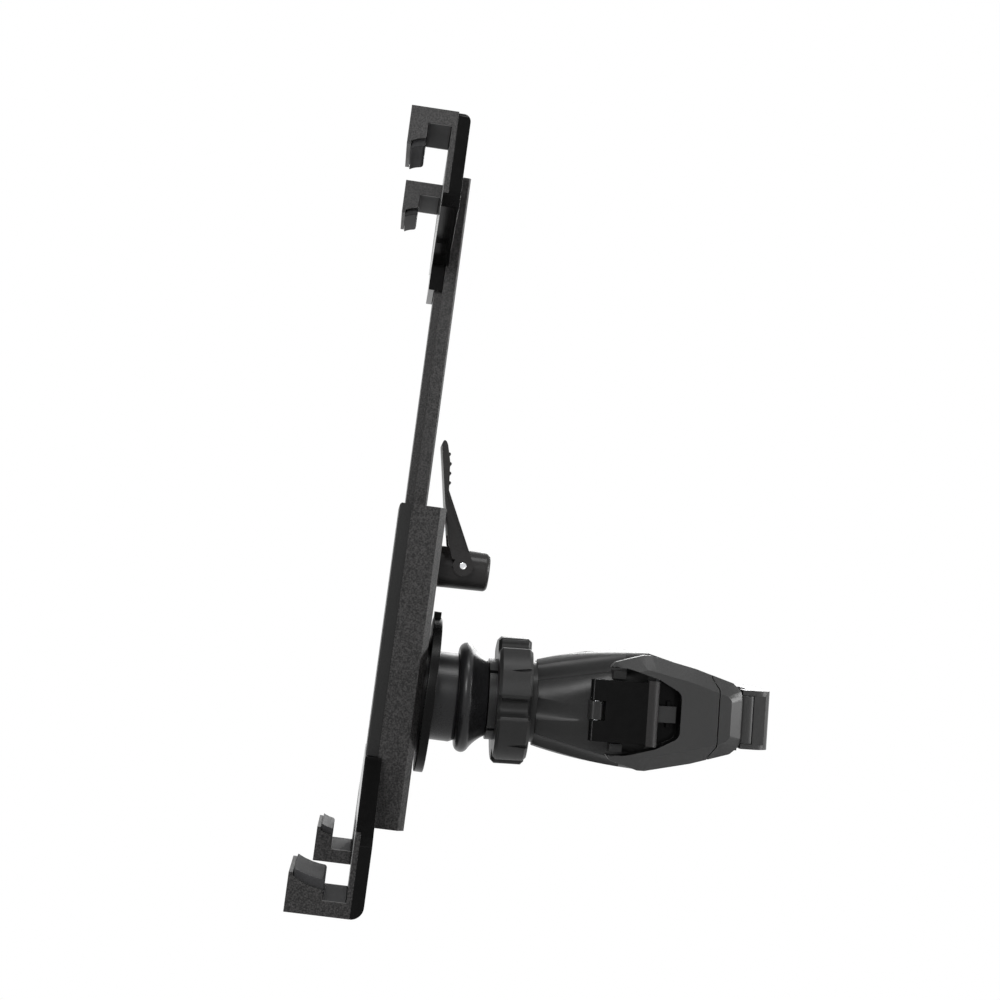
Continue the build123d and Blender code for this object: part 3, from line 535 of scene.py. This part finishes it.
@dataclass(frozen=True)
class RivetedPin:
    """A cross pin with its two ends upset round a dimple."""

    node: str
    body: str
    facets: int = 32
    rim: float = 0.25
    dimple: float = 0.12
    rounding: float = 0.2

    def build(self) -> None:
        """Models the pin over the CAD node and dresses it."""
        low, high = (Vector(corner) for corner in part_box(self.node))
        deselect()
        bpy.ops.mesh.primitive_cylinder_add(
            vertices=self.facets, radius=(high.x - low.x) / 2, depth=high.y - low.y)
        pin = bpy.context.object
        bpy.ops.object.mode_set(mode="EDIT")
        for end in (1, -1):
            select_faces(pin, end)
            bpy.ops.mesh.inset(thickness=self.rim * MM)
            bpy.ops.mesh.inset(thickness=self.rim * MM)
            bpy.ops.transform.translate(value=(0.0, 0.0, -end * self.dimple * MM))
        bpy.ops.object.mode_set(mode="OBJECT")
        round_edges(pin, self.rounding, angle_deg=SMALL_DEG)
        facing(pin, CROSSWISE)
        pin.location = (low + high) / 2
        finish_piece(pin, self.node + "_riveted", self.body, GROUND_STEEL, (self.node,))


@dataclass(frozen=True)
class HingeLip:
    """The bracket's lip that closes up to the door's knuckle, hollowed round it."""

    body: str
    hinge: tuple[float, float] = (9.0, -18.5)
    clearance_radius: float = 2.75
    facets: int = 64
    left: float = 10.4
    right: float = 14.4
    front: float = -20.45
    back: float = -16.5
    half: float = 7.25
    rounding: float = 0.12
    rounding_steps: int = 2

    def build(self) -> None:
        """Models the lip's block, hollows it and dresses it."""
        middle = Vector((self.left + self.right, self.front + self.back, 0.0)) * MM / 2
        deselect()
        bpy.ops.mesh.primitive_cube_add(size=1.0, location=middle)
        lip = bpy.context.object
        lip.scale = Vector((self.right - self.left, self.back - self.front, 2 * self.half)) * MM
        bpy.ops.object.transform_apply(location=True, rotation=True, scale=True)
        deselect()
        bpy.ops.mesh.primitive_cylinder_add(
            vertices=self.facets, radius=self.clearance_radius * MM, depth=4 * self.half * MM,
            location=(self.hinge[0] * MM, self.hinge[1] * MM, 0.0))
        cut_away(lip, bpy.context.object)
        round_edges(lip, self.rounding, self.rounding_steps, SMALL_DEG)
        finish_piece(lip, "hinge_bracket_lip", self.body, CLAMP_NYLON)


@dataclass(frozen=True)
class SubAssembly:
    """Pieces that ride on one CAD body, and the ways in which they are made and dressed."""

    body: str

    def mould(self, node: str, finish: Finish, rounding: float,
              smooth_deg: float = SMOOTH_DEG) -> bpy.types.Object:
        """Rounds the edges of a CAD node's copy and dresses it.

        Args:
            node: the CAD node.
            finish: its finish.
            rounding: the rounding's width in millimetres.
            smooth_deg: edges sharper than this stay sharp.

        Returns:
            The piece.
        """
        piece = merged_copy(node)
        round_edges(piece, rounding)
        finish_piece(piece, node + "_moulding", self.body, finish, (node,), smooth_deg)
        return piece

    def dress(self, finish: Finish, *nodes: str) -> None:
        """Gives CAD nodes their finish and keeps their shapes.

        Args:
            finish: the finish.
            *nodes: the CAD nodes.
        """
        for node in nodes:
            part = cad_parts[node]
            part.data.materials.clear()
            part.data.materials.append(finish.material())
            LOG.info("%s keeps its shape on %s", node, self.body)

    def dress_where(self, piece: bpy.types.Object, finish: Finish,
                    chosen: Callable[[Vector], bool]) -> None:
        """Gives some of a piece's faces a second finish.

        Args:
            piece: the piece.
            finish: the second finish.
            chosen: tells by the middle of a face, in millimetres, whether it takes the finish.
        """
        piece.data.materials.append(finish.material())
        for face in piece.data.polygons:
            if chosen(face.center / MM):
                face.material_index = 1


@dataclass(frozen=True)
class BracketHolder(SubAssembly):
    """A sub-assembly that carries one spread bracket with two claws."""

    end: str
    bracket_rounding: float = 0.6
    claw_rounding: float = 0.4
    pad_rounding: float = 0.3

    def build_bracket(self) -> None:
        """Moulds the bracket, its claws and their pads, and sets the claws' screws."""
        self.mould(self.end + "_arms", GLOSS_ABS, self.bracket_rounding)
        for side in ("near", "far"):
            self.mould(f"{self.end}_{side}_claw", TEXTURED_NYLON, self.claw_rounding)
            self.mould(f"{self.end}_{side}_pad", SILICONE, self.pad_rounding)
        CrossScrews(self.end + "_claw_screws", self.body, CRADLE_FRONT, BRACKET_SCREW).build()


@dataclass(frozen=True)
class Cradle(BracketHolder):
    """The sleeve, the lower bracket and the housing of the bar's lock."""

    body: str = "cradle"
    end: str = "lower"
    sleeve_rounding: float = 0.35
    housing_rounding: float = 0.25

    def build(self) -> None:
        """Builds the sleeve, the bracket and the housing, and dresses what they hide."""
        self.mould("sleeve_back", TEXTURED_NYLON, self.sleeve_rounding)
        self.mould("sleeve_front", STONED_NYLON, self.sleeve_rounding)
        self.build_bracket()
        self.mould("lock_housing", LEVER_ABS, self.housing_rounding)
        self.dress(ZINC_STEEL, "brake_springs")
        self.dress(NEAR_BLACK_ABS, "swivel_washer")
        CrossScrews("sleeve_screws", self.body, CRADLE_FRONT, SLEEVE_SCREW).build()


@dataclass(frozen=True)
class Slider(BracketHolder):
    """The extension bar and the upper bracket."""

    body: str = "slider"
    end: str = "upper"
    bar_rounding: float = 0.4

    def build(self) -> None:
        """Builds the bar, the bracket and the screws between them."""
        self.mould("extension_bar", TEXTURED_NYLON, self.bar_rounding)
        self.build_bracket()
        CrossScrews("bar_screws", self.body, CRADLE_FRONT, BRACKET_SCREW).build()


@dataclass(frozen=True)
class Plunger(SubAssembly):
    """The lock's plunger and its rubber shoe, hidden in the housing."""

    body: str = "plunger"

    def build(self) -> None:
        """Dresses the plunger and its shoe."""
        self.dress(GLOSS_ABS, "brake_plunger")
        self.dress(SILICONE, "brake_pad")


@dataclass(frozen=True)
class Lever(SubAssembly):
    """The lock's thumb lever, with a soft, rounded tip, and its pin."""

    body: str = "lever"
    tip_zone: float = 2.6
    tip_radius: float = 0.9
    tip_steps: int = 4
    crosswise_ratio: float = 10.0
    edge_rounding: float = 0.3

    def select_tip(self, lever: bpy.types.Object) -> None:
        """Selects the edges that run across the lever near its tip.

        Args:
            lever: the lever's copy, active and in object mode.
        """
        top = max(point.co.z for point in lever.data.vertices)
        bpy.ops.object.mode_set(mode="EDIT")
        bpy.ops.mesh.select_mode(type="EDGE")
        bpy.ops.mesh.select_all(action="DESELECT")
        bpy.ops.object.mode_set(mode="OBJECT")
        for edge in lever.data.edges:
            one, other = (lever.data.vertices[i].co for i in edge.vertices)
            near_tip = min(one.z, other.z) > top - self.tip_zone * MM
            x, y, z = (abs(step) for step in one - other)
            edge.select = near_tip and y > self.crosswise_ratio * max(x, z)

    def build(self) -> None:
        """Rivets the pin, rounds the lever's tip and then its edges, and dresses it."""
        RivetedPin("lever_pin", self.body).build()
        lever = merged_copy("lock_lever")
        self.select_tip(lever)
        bpy.ops.object.mode_set(mode="EDIT")
        bpy.ops.mesh.bevel(offset=self.tip_radius * MM, segments=self.tip_steps, affect="EDGES",
                           clamp_overlap=True)
        bpy.ops.object.mode_set(mode="OBJECT")
        round_edges(lever, self.edge_rounding)
        finish_piece(lever, "lock_lever_moulding", self.body, LEVER_ABS, ("lock_lever",),
                     LEVER_DEG)


@dataclass(frozen=True)
class Tilt(SubAssembly):
    """The friction dome and the swivel plate, which tilt together."""

    body: str = "tilt"
    dome_rounding: float = 0.2
    plate_rounding: float = 0.3

    def build(self) -> None:
        """Moulds the dome and the plate and dresses the pivot."""
        self.mould("ball_dome", MATT_ABS, self.dome_rounding)
        self.mould("swivel_plate", NEAR_BLACK_ABS, self.plate_rounding)
        self.dress(ZINC_STEEL, "pivot_screw", "pivot_cap_washer")


@dataclass(frozen=True)
class Socket(SubAssembly):
    """The dish and neck, with the bolt that holds the dome in them."""

    body: str = "socket"
    dish_rounding: float = 0.3

    def build(self) -> None:
        """Moulds the dish and dresses the bolt, its nut and the washer."""
        self.mould("dish_socket", MATT_ABS, self.dish_rounding)
        self.dress(ZINC_STEEL, "tie_bolt", "tie_nut")
        self.dress(MATT_ABS, "saddle_washer")


@dataclass(frozen=True)
class Ring(SubAssembly):
    """The lobed nut on the collet."""

    body: str = "ring"
    lobe_rounding: float = 0.8

    def build(self) -> None:
        """Moulds the nut."""
        self.mould("ring_nut", SATIN_ABS, self.lobe_rounding)


@dataclass(frozen=True)
class Arm(SubAssembly):
    """The fluted arm, the clamp's fixed jaw and the two hinge pins."""

    body: str = "arm"
    arm_rounding: float = 0.6
    jaw_rounding: float = 0.4
    pad_rounding: float = 0.3
    pin_rounding: float = 0.1

    def build(self) -> None:
        """Moulds the arm and the jaw, sets the pins and screws, and adds the lip."""
        self.mould("arm_body", SATIN_ABS, self.arm_rounding)
        self.mould("clamp_body", CLAMP_NYLON, self.jaw_rounding)
        self.mould("far_pad", SILICONE, self.pad_rounding)
        for pin in ("door_hinge_pin", "latch_hinge_pin"):
            self.mould(pin, ZINC_STEEL, self.pin_rounding)
        CrossScrews("clamp_screws", self.body, REAR, CLAMP_SCREW).build()
        HingeLip(self.body).build()


@dataclass(frozen=True)
class Door(SubAssembly):
    """The clamp's hinged jaw in satin, whose latch pocket is painted polished black as painted
    shade.
    """

    body: str = "door"
    cap_rounding: float = 1.0
    pad_rounding: float = 0.3
    frame_rounding: float = 0.7
    pocket_left: float = -34.0
    pocket_right: float = -11.4
    pocket_half: float = 13.2
    pocket_front: float = -22.6
    pocket_back: float = -15.0

    def in_painted_shade_pocket(self, place: Vector) -> bool:
        """Tells whether a place, in millimetres, lies in the latch's pocket, which takes the
        painted shade.
        """
        return (self.pocket_left < place.x < self.pocket_right
                and abs(place.z) < self.pocket_half
                and self.pocket_front < place.y < self.pocket_back)

    def build(self) -> None:
        """Moulds the cap, the pad and the frame, and paints the pocket polished black as painted
        shade.
        """
        self.mould("rear_cap", CLAMP_NYLON, self.cap_rounding, CAP_DEG)
        self.mould("near_pad", SILICONE, self.pad_rounding)
        door = self.mould("clamp_door", CLAMP_NYLON, self.frame_rounding, DOOR_DEG)
        # Painted shade: the pocket's faces take the near black polished finish to stand for the
        # shadow in the recess
        self.dress_where(door, GLOSS_ABS, self.in_painted_shade_pocket)


@dataclass(frozen=True)
class Latch(SubAssembly):
    """The latch's flap, whose flared finger lip is painted a lighter grey as a painted highlight,
    and its link pin.
    """

    body: str = "latch"
    flap_rounding: float = 0.4
    painted_lip_start: float = -21.6

    def build(self) -> None:
        """Dresses the pin, moulds the flap and paints its lip with the half polished finish as a
        painted highlight.
        """
        self.dress(ZINC_STEEL, "link_pin")
        flap = self.mould("latch_lever", GLOSS_ABS, self.flap_rounding, DOOR_DEG)
        # Painted highlight: the lip's faces take the lighter half polished finish to stand for the
        # light that its flared face catches
        self.dress_where(flap, LEVER_ABS, lambda place: place.x > self.painted_lip_start)


@dataclass(frozen=True)
class Link(SubAssembly):
    """The draw link that hooks on the door."""

    body: str = "link"
    hook_rounding: float = 0.2

    def build(self) -> None:
        """Moulds the link."""
        self.mould("catch_link", CLAMP_NYLON, self.hook_rounding)


@dataclass(frozen=True)
class Viewpoint:
    """The photograph's viewpoint.

    The place, the lens and the sensor are in millimetres, and the view's two limits in metres.
    """

    place: Triple = (-105.08, -562.0, 34.04)
    right: Triple = (0.9952, -0.0685, 0.0697)
    ahead: Triple = (0.0652, 0.9967, 0.0486)
    lens: float = 65.48
    sensor: float = 36.0
    nearest: float = 0.01
    farthest: float = 20.0

    def build(self) -> None:
        """Puts the camera at the viewpoint and keeps colours as they are written."""
        data = bpy.data.cameras.new("camera")
        data.sensor_width = self.sensor
        data.lens = self.lens
        data.clip_start = self.nearest
        data.clip_end = self.farthest
        ahead = Vector(self.ahead).normalized()
        up = Vector(self.right).normalized().cross(ahead).normalized()
        turn = Matrix((ahead.cross(up).normalized(), up, -ahead)).transposed()
        camera = place_object("camera", data)
        camera.matrix_world = Matrix.Translation(Vector(self.place) * MM) @ turn.to_4x4()
        bpy.context.scene.camera = camera
        bpy.context.scene.view_settings.view_transform = "Standard"


def background_rays(tree: bpy.types.NodeTree) -> bpy.types.NodeSocket:
    """Tells the rays that see the white background from those that carry light.

    Args:
        tree: the node tree.

    Returns:
        A socket that is one for camera, glossy and transmission rays.
    """
    rays = add_node(tree, "ShaderNodeLightPath")
    seen = rays.outputs["Is Camera Ray"]
    for kind in ("Is Glossy Ray", "Is Transmission Ray"):
        either = add_node(tree, "ShaderNodeMath", {"operation": "MAXIMUM"},
                          {0: seen, 1: rays.outputs[kind]})
        seen = either.outputs["Value"]
    return seen


@dataclass(frozen=True)
class Stage:
    """The pale floor and backdrop, in metres."""

    side: float = 6.0
    floor_place: Triple = (0.0, 0.0, -0.16)
    wall_place: Triple = (0.0, 2.6, 1.0)
    wall_turn: Triple = (math.radians(90), 0.0, 0.0)
    shade: float = 0.8

    def material(self, name: str) -> bpy.types.Material:
        """Makes a pale surface that camera, glossy and transmission rays see as white.

        Args:
            name: the material's name.

        Returns:
            The material.
        """
        made = bpy.data.materials.new(name)
        tree = emptied_tree(made)
        matt = add_node(tree, "ShaderNodeBsdfDiffuse",
                        {"Color": (self.shade, self.shade, self.shade, 1.0)})
        glow = add_node(tree, "ShaderNodeEmission", {"Color": WHITE, "Strength": 1.0})
        mix = add_node(tree, "ShaderNodeMixShader", {},
                       {"Fac": background_rays(tree), 1: matt.outputs["BSDF"],
                        2: glow.outputs["Emission"]})
        add_node(tree, "ShaderNodeOutputMaterial", {}, {"Surface": mix.outputs["Shader"]})
        return made

    def surface(self, name: str, place: Triple, turn: Triple = ORIGIN) -> bpy.types.Object:
        """Adds one flat surface of the stage.

        Args:
            name: its name.
            place: its middle.
            turn: how it is turned, in radians.

        Returns:
            The surface.
        """
        deselect()
        bpy.ops.mesh.primitive_plane_add(size=self.side, location=place, rotation=turn)
        flat = bpy.context.object
        flat.name = name
        flat.data.materials.append(self.material("pale_" + name))
        return flat

    def build(self) -> None:
        """Lays the floor and hangs the backdrop."""
        floor = self.surface("floor", self.floor_place)
        wall = self.surface("backdrop", self.wall_place, self.wall_turn)
        deselect()


@dataclass(frozen=True)
class SoftLamp:
    """One soft studio lamp that faces the part: metres, and watts."""

    name: str
    place: Triple
    width: float
    height: float
    power: float
    target: Triple = (-0.05, 0.0, 0.03)

    def build(self) -> None:
        """Hangs the lamp."""
        data = bpy.data.lights.new(self.name, "AREA")
        data.shape = "RECTANGLE"
        data.size = self.width
        data.size_y = self.height
        data.energy = self.power
        lamp = place_object(self.name, data)
        away = Vector(self.target) - Vector(self.place)
        lamp.location = self.place
        lamp.rotation_euler = away.to_track_quat("-Z", "Y").to_euler()


@dataclass(frozen=True)
class Lighting:
    """An even room, seen as white, and five soft lamps."""

    room: float = 0.35
    lamps: tuple[SoftLamp, ...] = (
        SoftLamp("key_lamp", (-0.35, -1.15, 0.6), width=0.3, height=0.3, power=9.5),
        SoftLamp("left_strip", (-1.1, -0.5, 0.1), width=0.15, height=0.9, power=7.0),
        SoftLamp("right_strip", (1.1, -0.2, 0.25), width=0.42, height=0.5, power=16.0),
        SoftLamp("top_lamp", (0.1, -0.35, 1.1), width=0.5, height=0.2, power=4.0),
        SoftLamp("rear_lamp", (0.3, 1.1, 0.5), width=0.6, height=0.6, power=7.0),
    )

    def build(self) -> None:
        """Sets the world and hangs the lamps."""
        world = bpy.data.worlds.new("studio")
        bpy.context.scene.world = world
        tree = emptied_tree(world)
        room = add_node(tree, "ShaderNodeBackground", {"Color": WHITE, "Strength": self.room})
        white = add_node(tree, "ShaderNodeBackground", {"Color": WHITE, "Strength": 1.0})
        mix = add_node(tree, "ShaderNodeMixShader", {},
                       {"Fac": background_rays(tree), 1: room.outputs["Background"],
                        2: white.outputs["Background"]})
        add_node(tree, "ShaderNodeOutputWorld", {}, {"Surface": mix.outputs["Shader"]})
        for lamp in self.lamps:
            lamp.build()


def main() -> None:
    """Builds the camera, the stage, the lights and every sub-assembly."""
    logging.basicConfig(level=logging.INFO, format="%(message)s")
    for part in (Viewpoint(), Stage(), Lighting(), Cradle(), Slider(), Plunger(), Tilt(),
                 Socket(), Ring(), Arm(), Door(), Latch(), Link(), Lever()):
        part.build()


if __name__ == "__main__":
    main()
